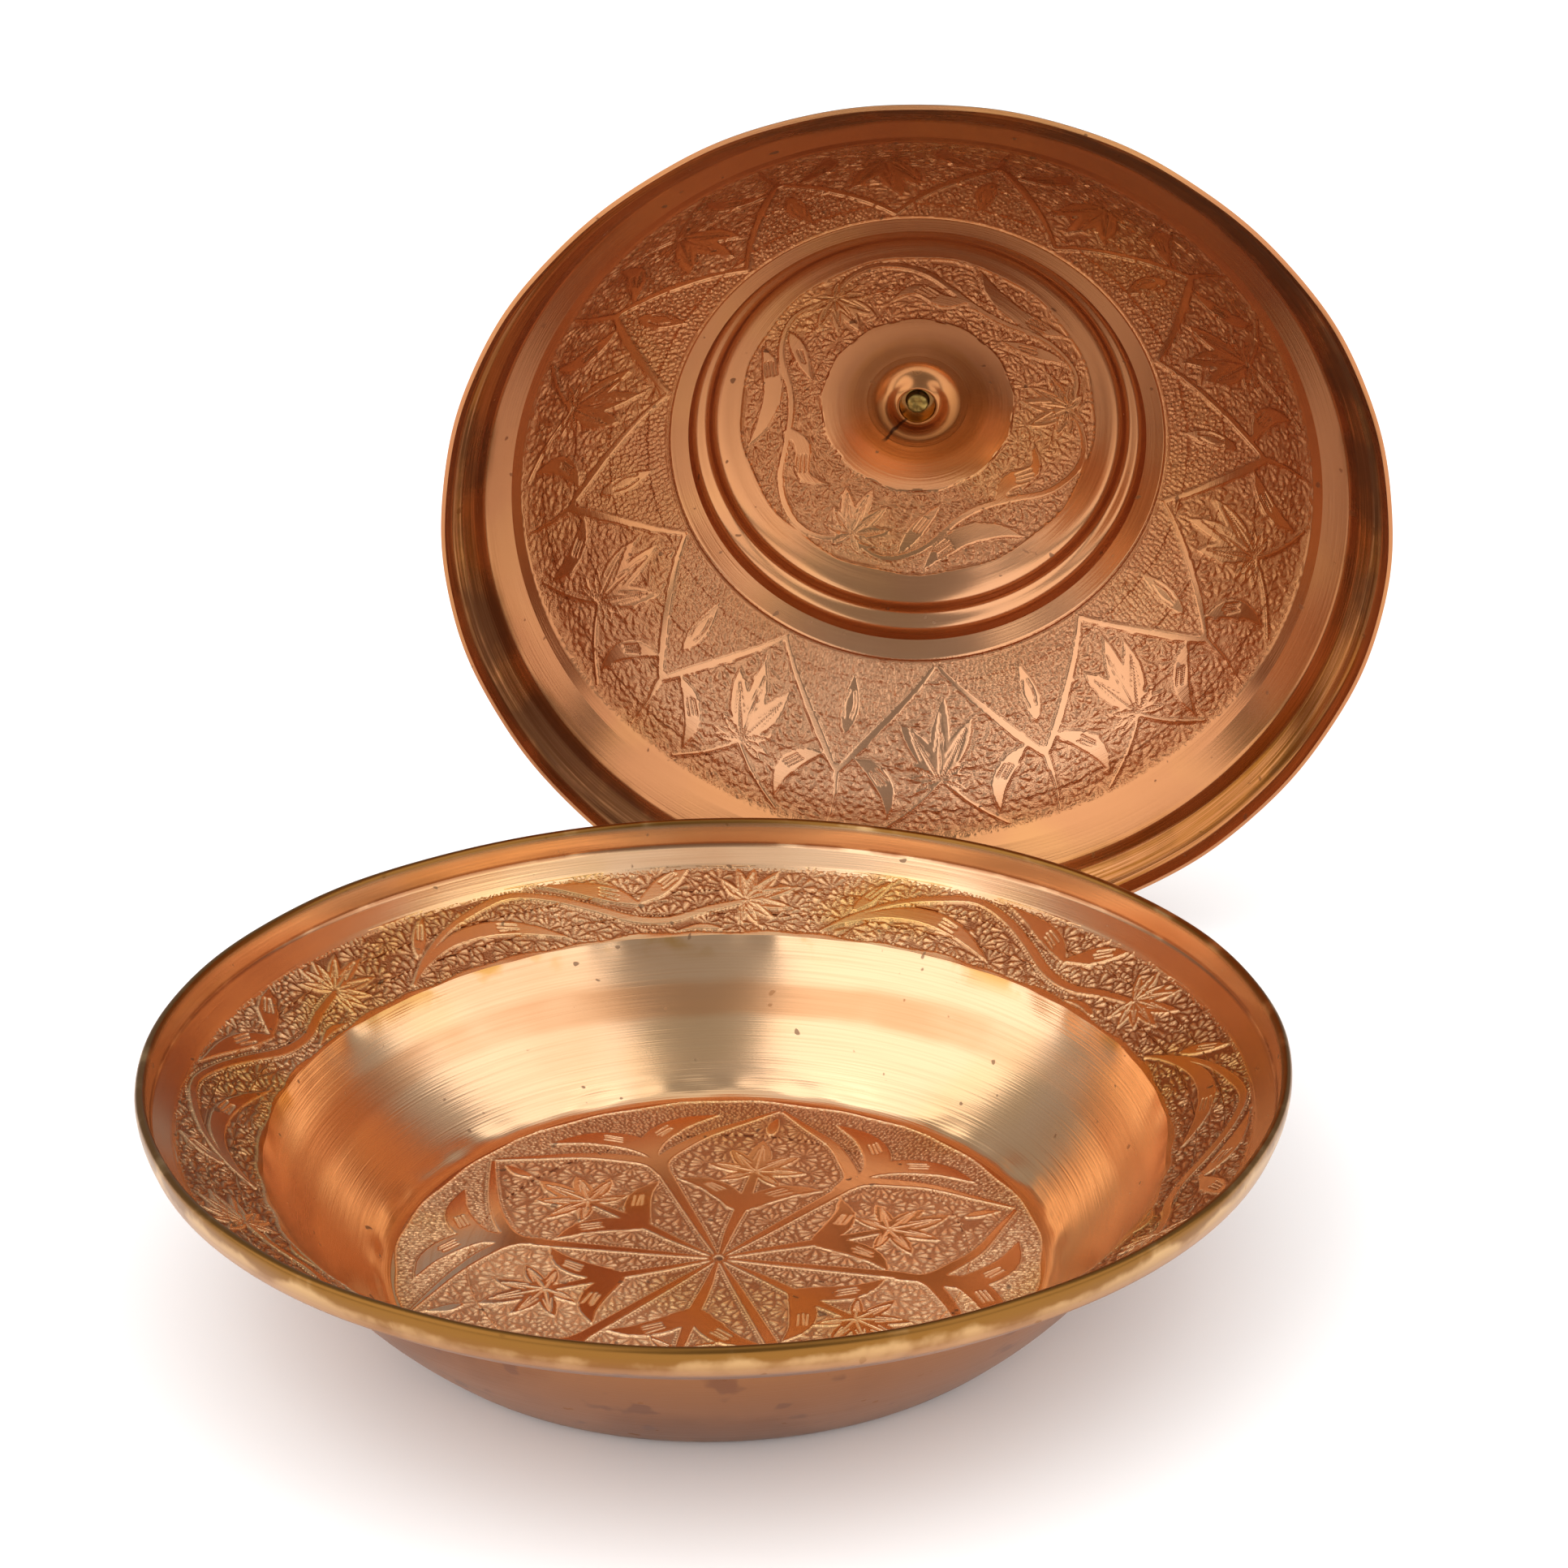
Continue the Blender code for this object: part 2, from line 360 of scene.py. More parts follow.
def finished(relief, zone, sunk, rough):
    """(height, recess): the relief's height in millimetres, and how far each cell is worked, 0 to 1."""
    edging(relief)
    ground = share(relief.motif / 0.35 + 0.5) * zone
    grain = blurred(rng.normal(size=ground.shape), relief.wraps) * rough
    punched = np.minimum(relief.punch, 1)
    height = ground * (punched - 1) * sunk + ground * grain - relief.cut * zone
    recess = share(ground * (1 - 0.8 * punched) + relief.cut * 2.2 * zone)
    return height, recess


# ---------------- dish floor: six petals

FLOOR_STEP = 0.25
ROSETTE = (0.0, -2.0)
PETALS = 6
PETAL_ANGLE = math.radians(78)
ENGRAVED_RADIUS = 69.5
FLOOR_DEPTH = 0.52
ROSETTE_CUT = 36.0
PETALS_CUT = 54.0


def floor_relief():
    half = FLOOR_EDGE[0] + 1
    across = np.arange(-half, half + FLOOR_STEP, FLOOR_STEP)
    relief = Relief(across, across, np.ones(len(across)), False)

    def polar(turn):
        return lambda radius, degrees: (
            ROSETTE[0] + radius * math.cos(turn + math.radians(degrees)),
            ROSETTE[1] + radius * math.sin(turn + math.radians(degrees)),
        )

    for k in range(PETALS):
        turn = PETAL_ANGLE + k * math.tau / PETALS + rng.uniform(-0.02, 0.02)
        p = polar(turn)
        ribbon(relief, [p(1.5, 0), p(12, 0.8), p(24, -0.6), p(38, 0)], [0.5, 1.1, 1.5, 1.0])
        ribbon(relief, [p(1.5, 30), p(12, 30), p(26, 30), p(40, 30)], [0.5, 1.0, 1.3, 1.6])
        for side in (-1, 1):
            wobble = rng.uniform(-0.8, 0.8)
            edge = [(39.5, 30), (45.5, 28.4), (50.5, 22), (56, 14.5 + wobble), (61.5, 6.8), (67.5, 0.6)]
            ribbon(relief, [p(r, side * a) for r, a in edge], [1.4, 1.8, 1.7, 1.3, 1.0, 0.6])
            inner = [(21, 1.0), (27.5, 8), (33, 17), (36.8, 27)]
            leaf(relief, [p(r, side * a) for r, a in inner], 2.9, 3)
            outer = [(44, 30), (51, 30), (57, 26.5), (62, 20), (65, 12)]
            leaf(relief, [p(r, side * a) for r, a in outer], 3.2, 3, 0.6, 1.1)
        flower(relief, p(38.5, 0), math.degrees(turn), [
            (0, 15, 2.6), (38, 12, 2.0), (-38, 12, 2.0), (80, 11.5, 1.8), (-80, 11.5, 1.8),
            (125, 9, 1.4), (-125, 9, 1.4),
        ])
        leaf(relief, [p(56, 0), p(60, 0.4), p(64.5, 0)], 1.3)

    x, y = np.meshgrid(across, across)
    radius = np.hypot(x, y)
    edge = ENGRAVED_RADIUS + 0.35 * np.sin(9 * np.arctan2(y, x)) + 0.25 * np.sin(23 * np.arctan2(y, x))
    zone = share((edge - radius) / 0.5)

    def from_middle(u, v):
        return math.hypot(u - ROSETTE[0], v - ROSETTE[1])

    def petal_edge(u, v):
        """Radius at which the petal's outline crosses this direction, about the rosette."""
        turned = (math.atan2(v - ROSETTE[1], u - ROSETTE[0]) - PETAL_ANGLE) % (math.tau / PETALS)
        off = abs(turned - (math.tau / PETALS if turned > math.pi / PETALS else 0))
        return np.interp(math.degrees(off), [0, 6.8, 14.5, 22, 28.4, 30], [67, 61.5, 56, 50.5, 45.5, 40])

    def inside_petals(u, v):
        return 5 < from_middle(u, v) < petal_edge(u, v) - 1

    def outside_petals(u, v):
        if from_middle(u, v) < petal_edge(u, v) or math.hypot(u, v) > ENGRAVED_RADIUS + 0.3:
            return 0
        return math.atan2(v, u)

    fans(relief, inside_petals, 4.1, 4.0)
    stipple(relief, outside_petals, 1.0, 0.3, 0.6)
    return relief, *finished(relief, zone, FLOOR_DEPTH, DISH_GRAIN)


# ---------------- dish flange: a vine, six times

FLANGE_UNITS = 6
FLANGE_FLOWER = math.radians(147)
FLANGE_COLUMNS = 2400
FLANGE_STEP = 0.25
FLANGE_DEPTH = 0.45


def repeats(start, count, uneven):
    """For each repeat of a pattern round a turned sheet, a maker of points from degrees and v."""
    for k in range(count):
        turn = start + k * math.tau / count + rng.uniform(-uneven, uneven)
        yield lambda degrees, v: (turn - math.radians(degrees), v)


def flange_relief():
    start = np.array(FLANGE_TOP)
    profile = resample([start, WALL_TOP], FLANGE_STEP)
    rows = np.linspace(0, np.linalg.norm(start - WALL_TOP), len(profile))
    columns = full_turn(FLANGE_COLUMNS)
    relief = Relief(columns, rows, profile[:, 0], True)
    for p in repeats(FLANGE_FLOWER, FLANGE_UNITS, 0.01):
        vine = [(0, 10.5), (-5, 12.8), (-10, 15.4), (-15, 14.3), (-20, 9.8), (-25, 5.2),
                (-30, 2.4), (-35, 4.2), (-40, 7.4), (-45, 12.5), (-49, 17.8)]
        ribbon(relief, [p(*q) for q in vine], [0.9, 1.1, 1.1, 1.2, 1.1, 1.0, 1.1, 0.9, 0.7, 0.5])
        leaf(relief, [p(-26, 1.2), p(-21, 3.8), p(-17, 6.8), p(-13.5, 10.6)], 2.3, 3, 0.6, 1.2)
        leaf(relief, [p(-14.4, 10.6), p(-11.6, 7.0), p(-9.6, 4.0), p(-7.0, 0.8)], 2.4, 3, 0.6, 1.1)
        long_leaf = [(-49, 18), (-45, 13.8), (-40, 10.4), (-35, 9.9), (-30, 12.2), (-24, 17.4)]
        leaf(relief, [p(*q) for q in long_leaf], 2.1, 3, 0.7, 1.5)
        leaf(relief, [p(-45.6, 11.5), p(-43.6, 6.5), p(-41.6, 1.6)], 1.6, 2)
        flower(relief, p(0, 10.2), 180, [
            (18, 13.5, 1.6), (-8, 12, 1.4), (46, 11.5, 1.5), (74, 9.5, 1.4), (102, 9.5, 1.3),
            (132, 8.5, 1.2), (-34, 9, 1.2), (-62, 8, 1.2), (-96, 7, 1.1),
        ])
        leaf(relief, [p(-3, 18.5), p(-6, 17.6), p(-9.5, 18.8)], 0.8)
    wave = 0.35 * np.sin(columns * 17) + 0.25 * np.sin(columns * 41 + 1)
    zone = share((rows[:, None] - 0.2 - wave / 2) / 0.3)
    zone = zone * share((rows[-1] - 1.0 + wave - rows[:, None]) / 0.4)
    fans(relief, lambda u, v: 1.0 < v < rows[-1] - 1.2, 4.0, 3.9)
    stipple(relief, lambda u, v: 0.01 if 0.6 < v < 1.6 or v > rows[-1] - 2.2 else 0, 0.9, 0.25, 0.4)
    return profile, *finished(relief, zone, FLANGE_DEPTH, DISH_GRAIN)


# ---------------- lid band: a zigzag, ten times

BAND_UNITS = 10
BAND_STEM = math.radians(319.5)
BAND_COLUMNS = 1400
BAND_STEP = 0.4


def band_profile():
    shoulder = curve(SHOULDER_TOP, SHOULDER_BEND, SHOULDER_FOOT, 24)
    return resample(np.concatenate([[LID_SKIRT[-1]], shoulder, [BAND_FOOT]]), BAND_STEP)


def band_relief(profile):
    lengths = np.cumsum(np.linalg.norm(np.diff(profile, axis=0), axis=1))
    rows = np.linspace(0, lengths[-1], len(profile))
    columns = full_turn(BAND_COLUMNS)
    relief = Relief(columns, rows, profile[:, 0], True)
    half = 180 / BAND_UNITS
    for p in repeats(BAND_STEM, BAND_UNITS, 0.012):
        drop = rng.uniform(-1.0, 1.0)
        ribbon(relief, [p(0, 5.2), p(0.4, 13), p(0, 21.5 + drop)], [0.5, 0.6, 1.1])
        for side in (-1, 1):
            line = [(0.4, 21 + drop), (4.2, 28.5), (9.5, 37.5), (half - 0.2, 49.3)]
            ribbon(relief, [p(side * a, v) for a, v in line], [1.0, 1.3, 1.1, 0.8])
            side_leaf = [(2.6, 24.5 + drop), (6.4, 21.5), (9.0, 16), (9.4, 8.5)]
            leaf(relief, [p(side * a, v) for a, v in side_leaf], 2.5, 3, 0.45, 1.0)
            line = [(half, 19.0), (half - 4.5, 12), (half - 9.5, 5.6)]
            ribbon(relief, [p(side * a, v) for a, v in line], 0.6)
        leaf(relief, [p(0.2, 30), p(0.5, 38), p(0, 46.5)], 2.3)
        relief.groove(through([p(-0.5, 34.5), p(-1.0, 38), p(-0.4, 41.5)]), 0.35, 0.3)
        relief.groove(through([p(0.9, 34.5), p(1.3, 38), p(0.8, 41.5)]), 0.35, 0.3)
        flower(relief, p(half, 19.8), 90, [
            (0, 22, 2.6), (29, 18.5, 2.8), (-29, 18.5, 2.8), (66, 8.5, 1.2), (-66, 8.5, 1.2),
            (90, 8.5, 1.1), (-90, 8.5, 1.1), (114, 8, 1.1), (-114, 8, 1.1),
        ])

    def above(u, v):
        off = abs((math.degrees(BAND_STEM - u) + half) % (2 * half) - half)
        return v < np.interp(off, [0, 4.2, 9.5, half], [21, 28.5, 37.5, 49.3])

    last = rows[-1] - 6.0
    zone = share((rows[:, None] - 3.4) / 2.0) * share((last - rows[:, None]) / 0.6)
    fans(relief, lambda u, v: 4.0 < v < last and above(u, v), 4.3, 4.2)
    stipple(relief, lambda u, v: 1.4 if v < last - 0.6 and not above(u, v) else 0, 1.2, 0.36, 0.4)
    relief.groove([(a, last + 0.4) for a in columns], 0.5, 0.25)
    zone = np.maximum(zone, share(1 - np.abs(rows[:, None] - last - 0.4) / 0.8) * 0.8)
    return relief, zone


# ---------------- lid crown: a vine, three times

CROWN_UNITS = 3
CROWN_FLOWER = math.radians(-2)
CROWN_COLUMNS = 900
CROWN_STEP = 0.3


def crown_profile():
    return resample(through(LID_CROWN, 8), CROWN_STEP)


def crown_relief(profile):
    rows = np.linspace(0, (len(profile) - 1) * CROWN_STEP, len(profile))
    columns = full_turn(CROWN_COLUMNS)
    relief = Relief(columns, rows, profile[:, 0], True)
    for p in repeats(CROWN_FLOWER, CROWN_UNITS, 0.03):
        vine = [(0, 7.5), (-9, 3.4), (-20, 2.2), (-34, 5.6), (-48, 11.6), (-62, 14.4), (-76, 13.2),
                (-92, 7.0), (-106, 4.2), (-120, 7.5)]
        ribbon(relief, [p(*q) for q in vine], [0.8, 1.0, 1.1, 1.0, 1.0, 1.1, 1.0, 0.9, 0.6])
        leaf(relief, [p(-53, 1.5), p(-60, 6.6), p(-72, 9.2), p(-84, 6.4), p(-91, 1.8)], 2.7, 4, 0.7, 1.1)
        leaf(relief, [p(-56, 13), p(-44, 15.5), p(-32, 12.2), p(-20, 15.5)], 2.2, 3, 0.5)
        leaf(relief, [p(-100, 6), p(-92, 13), p(-80, 19)], 1.9, 2)
        flower(relief, p(0, 7.8), 90, [
            (0, 13, 2.0), (32, 12, 1.7), (-32, 13, 2.0), (66, 11, 1.6), (-66, 9, 1.5),
            (100, 8, 1.2), (-100, 8, 1.2), (-140, 6, 1.0), (140, 6, 1.0),
        ])
    edge = 0.3 * np.sin(columns * 13)
    zone = share((rows[:, None] - 0.8 + edge) / 0.6)
    zone = zone * share((22.6 + edge - rows[:, None]) / 0.6)
    fans(relief, lambda u, v: 1.2 < v < 22.0, 3.9, 3.7)
    return relief, zone


# ---------------- meshes

def placed(name, data):
    """A new object in the scene."""
    obj = bpy.data.objects.new(name, data)
    bpy.context.scene.collection.objects.link(obj)
    return obj


def new_object(name, vertices, faces, layers):
    """An object with a smooth mesh, and an attribute for each of the layers."""
    mesh = bpy.data.meshes.new(name)
    mesh.from_pydata(vertices.tolist(), [], faces)
    for layer_name, values in layers.items():
        layer = mesh.attributes.new(layer_name, "FLOAT", "POINT")
        layer.data.foreach_set("value", np.asarray(values, np.float32))
    mesh.shade_smooth()
    mesh.set_sharp_from_angle(angle=math.radians(60))
    return placed(name, mesh)


def turned(name, section, columns, heights=(), marks=None, wobble=None):
    """A closed ring: section is a loop of (radius, height). Each of heights is (first row, layer,
    worked): the layer moves its rows along their normals, towards the hollow side, and worked says
    how far they are worked. Each of marks gives an attribute its value on every row."""
    section = np.asarray(section, float)
    count = len(section)
    angles = full_turn(columns)
    radius = np.repeat(section[:, :1], columns, 1)
    height = np.repeat(section[:, 1:], columns, 1)
    values = np.zeros((count, columns))
    side = normals_of(section)
    for first, layer, worked in heights:
        rows = slice(first, first + len(layer))
        radius[rows] -= layer * side[rows, :1]
        height[rows] -= layer * side[rows, 1:]
        values[rows] = worked
    if wobble:
        radius, height = wobble(radius, height, angles[None, :])
    points = np.stack([radius * np.cos(angles), radius * np.sin(angles), height], 2) * MM
    row, column = np.meshgrid(np.arange(count), np.arange(columns), indexing="ij")
    ahead, beside = (row + 1) % count, (column + 1) % columns
    corners = [(row, column), (row, beside), (ahead, beside), (ahead, column)]
    faces = np.stack([r * columns + c for r, c in corners], 2).reshape(-1, 4)
    layers = {"recess": values.reshape(-1)}
    for mark, weights in (marks or {}).items():
        layers[mark] = np.repeat(np.asarray(weights, float), columns)
    return new_object(name, points.reshape(-1, 3), faces.tolist(), layers)


def sampled(relief, layer, x, y):
    """A layer of a flat relief at any place, by linear interpolation."""
    i = (y - relief.rows[0]) / relief.row_step
    j = (x - relief.columns[0]) / relief.column_step
    i0, j0 = np.floor(i).astype(int), np.floor(j).astype(int)
    di, dj = i - i0, j - j0
    upper = layer[i0, j0] * (1 - dj) + layer[i0, j0 + 1] * dj
    lower = layer[i0 + 1, j0] * (1 - dj) + layer[i0 + 1, j0 + 1] * dj
    return upper * (1 - di) + lower * di


def floor_disc(name, relief, height, recess, radius, count):
    """The middle of the floor: a disc whose top follows a height map, on an even grid."""
    side = np.linspace(-1, 1, count + 1)
    a, b = np.meshgrid(side, side)
    wide = np.abs(a) > np.abs(b)
    r = np.where(wide, a, b)
    with np.errstate(divide="ignore", invalid="ignore"):
        angle = np.where(wide, math.pi / 4 * b / a, math.pi / 2 - math.pi / 4 * a / b)
    angle = np.where(r == 0, 0, angle)
    x, y = radius * r * np.cos(angle), radius * r * np.sin(angle)
    points = np.stack([x, y, FLOOR_HEIGHT + sampled(relief, height, x, y)], 2).reshape(-1, 3)
    values = sampled(relief, recess, x, y).reshape(-1)
    row, column = np.meshgrid(np.arange(count), np.arange(count), indexing="ij")
    line = count + 1
    first = row * line + column
    faces = np.stack([first, first + 1, first + line + 1, first + line], 2).reshape(-1, 4).tolist()
    edge = list(range(count))
    edge += [i * line + count for i in range(count)]
    edge += [count * line + count - i for i in range(count)]
    edge += [(count - i) * line for i in range(count)]
    under = points[edge].copy()
    under[:, 2] = FLOOR_HEIGHT - INLAY
    base = len(points)
    for i in range(len(edge)):
        j = (i + 1) % len(edge)
        faces.append([edge[j], edge[i], base + i, base + j])
    faces.append([base + i for i in reversed(range(len(edge)))])
    points = np.concatenate([points, under]) * MM
    return new_object(name, points, faces, {"recess": np.concatenate([values, np.zeros(len(under))])})


def floor_ring(name, relief, height, recess, inner, outer, columns):
    """A ring of the floor, whose top follows a height map."""
    profile = resample([(inner, FLOOR_HEIGHT), (outer, FLOOR_HEIGHT)], FLOOR_STEP)
    angles = full_turn(columns)
    x, y = profile[:, :1] * np.cos(angles), profile[:, :1] * np.sin(angles)
    layer, worked = sampled(relief, height, x, y), sampled(relief, recess, x, y)
    return turned(name, inlay_section(profile), columns, [(0, layer, worked)])


def sheet_section(profile, thickness):
    """The closed section of a sheet: its hollow face, then its other face back."""
    profile = np.asarray(profile, float)
    other = profile + normals_of(profile) * thickness
    return np.concatenate([profile, other[::-1]])


def inlay_section(profile):
    """As sheet_section, for a sheet whose other face is hidden: that face gets three points."""
    other = profile + normals_of(profile) * INLAY
    return np.concatenate([profile, other[[-1, len(other) // 2, 0]]])


def wall_profile(step):
    """The wall's hollow face, from the floor's edge to the flange."""
    foot = curve(FLOOR_EDGE, FLOOR_BEND, WALL_FOOT, 6)
    wall = curve(WALL_FOOT, WALL_BEND, WALL_TOP, 24)
    return resample(np.concatenate([foot, wall[1:]]), step)


def cut_rows(count, parts):
    """Slices of a profile's points, each of which starts on the last point of the one before."""
    cuts = np.linspace(0, count - 1, parts + 1).astype(int)
    return [slice(first, last + 1) for first, last in zip(cuts, cuts[1:])]


def put_on(obj, body, node, material):
    """Makes the object a visible piece of a body, in place of a CAD node."""
    obj.data.materials.append(material)
    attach(obj, body)
    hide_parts(node)
    return obj


# ---------------- materials

# How fast the turning marks change, along them and across them, per metre.
ALONG_RINGS = 30.0
ACROSS_RINGS = 1800.0


class Metal:
    """A metal material, and short ways to add the nodes that vary it."""

    def __init__(self, name):
        self.material = bpy.data.materials.new(name)
        self.material.use_nodes = True
        self.tree = self.material.node_tree
        self.shader = self.tree.nodes["Principled BSDF"]
        self.shader.inputs["Metallic"].default_value = 1.0
        self.place = self.tree.nodes.new("ShaderNodeTexCoord").outputs["Object"]

    def node(self, kind, inputs, **settings):
        node = self.tree.nodes.new(kind)
        for key, value in settings.items():
            setattr(node, key, value)
        for key, value in inputs.items():
            self.feed(node.inputs[key], value)
        return node

    def feed(self, socket, value):
        if isinstance(value, bpy.types.NodeSocket):
            self.tree.links.new(value, socket)
        else:
            socket.default_value = value

    def reckon(self, operation, *values):
        """The result of a maths node."""
        return self.node("ShaderNodeMath", dict(enumerate(values)), operation=operation).outputs[0]

    def sum(self, a, factor, b):
        """a times factor, plus b."""
        return self.reckon("MULTIPLY_ADD", a, factor, b)

    def product(self, a, b):
        return self.reckon("MULTIPLY", a, b)

    def size_of(self, value):
        return self.reckon("ABSOLUTE", value)

    def parts(self, place=None):
        """The X, Y and Z of a place."""
        return self.node("ShaderNodeSeparateXYZ", {0: place or self.place}).outputs

    def noise(self, scale, seed, detail, where=None):
        shift = (seed, seed * 0.7, seed * 1.3)
        shifted = self.node("ShaderNodeVectorMath", {0: where or self.place, 1: shift})
        inputs = {"Vector": shifted.outputs[0], "Scale": scale, "Detail": detail}
        return self.node("ShaderNodeTexNoise", inputs).outputs["Fac"]

    def step(self, value, low, high, to=1.0):
        """A soft step from 0 at low to another value at high."""
        inputs = {"Value": value, "From Min": low, "From Max": high, "To Max": to}
        return self.node("ShaderNodeMapRange", inputs, interpolation_type="SMOOTHSTEP").outputs[0]

    def blend(self, factor, a, b):
        node = self.node("ShaderNodeMix", {0: factor}, data_type="RGBA")
        for socket, colour in ((node.inputs[6], a), (node.inputs[7], b)):
            self.feed(socket, colour if isinstance(colour, bpy.types.NodeSocket) else (*colour, 1))
        return node.outputs[2]

    def mark(self, name):
        """The value of one of the mesh's attributes."""
        return self.node("ShaderNodeAttribute", {}, attribute_name=name).outputs["Fac"]

    def radius(self):
        """The distance from the piece's own axis."""
        inputs = {0: self.place, 1: (1, 1, 0)}
        flat = self.node("ShaderNodeVectorMath", inputs, operation="MULTIPLY").outputs[0]
        return self.node("ShaderNodeVectorMath", {0: flat}, operation="LENGTH").outputs["Value"]

    def rings(self, slope):
        """A place that changes fast across the turning marks and slowly along them."""
        parts = self.parts()
        across = self.sum(parts["Z"], slope, self.radius())
        inputs = {axis: self.product(parts[axis], ALONG_RINGS) for axis in "XY"}
        inputs["Z"] = self.product(across, ACROSS_RINGS)
        return self.node("ShaderNodeCombineXYZ", inputs).outputs[0]

    def bump(self, *layers):
        """Bumps one after another, each (height, distance in millimetres)."""
        normal = None
        for height, distance in layers:
            inputs = {"Height": height, "Distance": distance * MM}
            if normal:
                inputs["Normal"] = normal
            normal = self.node("ShaderNodeBump", inputs).outputs[0]
        self.feed(self.shader.inputs["Normal"], normal)

    def finish(self, colour, roughness):
        self.feed(self.shader.inputs["Base Color"], colour)
        self.feed(self.shader.inputs["Roughness"], roughness)
        return self.material


# Colours of the metal, its stains and its dirt, and the dark brown of the painted shade in its punched
# gaps and creases.
COPPER = (0.90, 0.57, 0.33)
BROWN = (0.60, 0.26, 0.10)
GOLD = (0.80, 0.46, 0.13)
PAINTED_SHADE = (0.36, 0.13, 0.05)
DARK = (0.06, 0.025, 0.015)


def worked_copper(name, base, brown, gold, gloss, slope=1.0, brushed=0.02, dirt=0.7, ground=None):
    """Sheet copper: brown and golden patches, turning marks, and painted shade in the punched ground's
    gaps.

    brown and gold say how strong these are, and the last but one argument how strong the painted
    shade in the gaps is; gloss is the roughness of the smoothest metal, slope turns the marks to
    follow the sheet, and ground is the punched ground's own colour: it is partly not metal, for the
    light that bounces between the strokes.
    """
    m = Metal(name)
    recess = m.mark("recess")
    punched = m.step(recess, 0.08, 0.25)
    cloud = m.noise(16.0, 0.3, 3.0)
    colour = base
    matt = 0.08
    if ground:
        colour = m.blend(punched, base, ground)
        m.feed(m.shader.inputs["Metallic"], m.sum(punched, -0.25, 1.0))
        matt = 0.05
    colour = m.blend(m.step(cloud, 0.42, 0.7, brown), colour, BROWN)
    colour = m.blend(m.step(m.noise(26.0, 2.1, 2.0), 0.5, 0.66, gold), colour, GOLD)
    lines = m.noise(1.0, 0.9, 1.0, m.rings(slope))
    colour = m.blend(m.step(lines, 0.35, 0.8, 0.22), colour, BROWN)
    # Painted shade: the deeper punched gaps and grooves are darkened, in patches.
    colour = m.blend(m.product(m.step(recess, 0.3, 0.9), m.step(cloud, 0.1, 0.6, dirt)), colour, PAINTED_SHADE)
    spots = m.step(m.noise(300.0, 5.0, 1.0), 0.745, 0.78, 0.6)
    colour = m.blend(spots, colour, DARK)
    rough = m.sum(cloud, 0.12, gloss - 0.06)
    rough = m.sum(lines, 0.10, rough)
    rough = m.sum(punched, matt, rough)
    rough = m.sum(spots, 0.3, rough)
    grain = m.product(m.noise(2600.0, 0.0, 1.0), m.sum(punched, 0.97, 0.03))
    m.bump((lines, brushed), (grain, 0.15))
    return m, colour, rough


def dish_copper(name, base, **options):
    m, colour, rough = worked_copper(name, base, **options)
    return m.finish(colour, rough)


def wall_copper():
    """The dish's wall: bright, brushed, with a brown band half way up and stains under its edge."""
    m, colour, rough = worked_copper("dish_wall", COPPER, 0.3, 0.2, 0.15, brushed=0.045)
    cloud = m.noise(20.0, 8.0, 3.0)
    radius = m.sum(cloud, 0.004, m.radius())
    band = m.product(m.step(radius, 0.0865, 0.0885), m.step(radius, 0.0935, 0.0915))
    colour = m.blend(m.product(band, m.step(cloud, 0.25, 0.6, 0.65)), colour, BROWN)
    stains = m.step(m.noise(60.0, 3.0, 4.0), 0.5, 0.62, 0.8)
    edge = m.product(m.step(radius, 0.0945, 0.0975), stains)
    colour = m.blend(edge, colour, (0.62, 0.30, 0.05))
    return m.finish(colour, m.sum(band, 0.05, rough))


def body_copper():
    """The dish's body: bright seat, worn golden lip, painted shade in the crease between them, dull
    outside.
    """
    m, colour, rough = worked_copper("dish_body", (0.88, 0.56, 0.33), 0.5, 0.3, 0.18)
    lip = m.mark("lip")
    outside = m.mark("outside")
    worn = m.noise(75.0, 3.0, 4.0)
    parts = m.parts()
    front = m.step(parts["Y"], -0.09, -0.118)
    top = m.step(parts["Z"], 0.0475, 0.0508)
    stained = m.step(m.sum(top, 0.26, m.sum(front, 0.1, worn)), 0.5, 0.72)
    gold = m.blend(stained, (0.60, 0.365, 0.16), (0.26, 0.115, 0.025))
    colour = m.blend(m.product(lip, m.step(worn, 0.0, 0.3)), colour, gold)
    # Painted shade along the crease from the seat to the lip, in patches.
    colour = m.blend(m.product(m.mark("crease"), m.step(worn, 0.3, 0.5, 0.8)), colour, PAINTED_SHADE)
    patches = m.step(m.noise(30.0, 7.0, 4.0), 0.4, 0.65)
    spots = m.step(m.noise(110.0, 9.0, 2.0), 0.62, 0.7, 0.6)
    dull = m.blend(patches, (0.41, 0.18, 0.075), (0.31, 0.12, 0.042))
    dull = m.blend(spots, dull, (0.22, 0.09, 0.05))
    colour = m.blend(outside, colour, dull)
    return m.finish(colour, m.sum(lip, 0.08, m.sum(outside, 0.12, rough)))


CRACK_ANGLE = math.radians(-128)


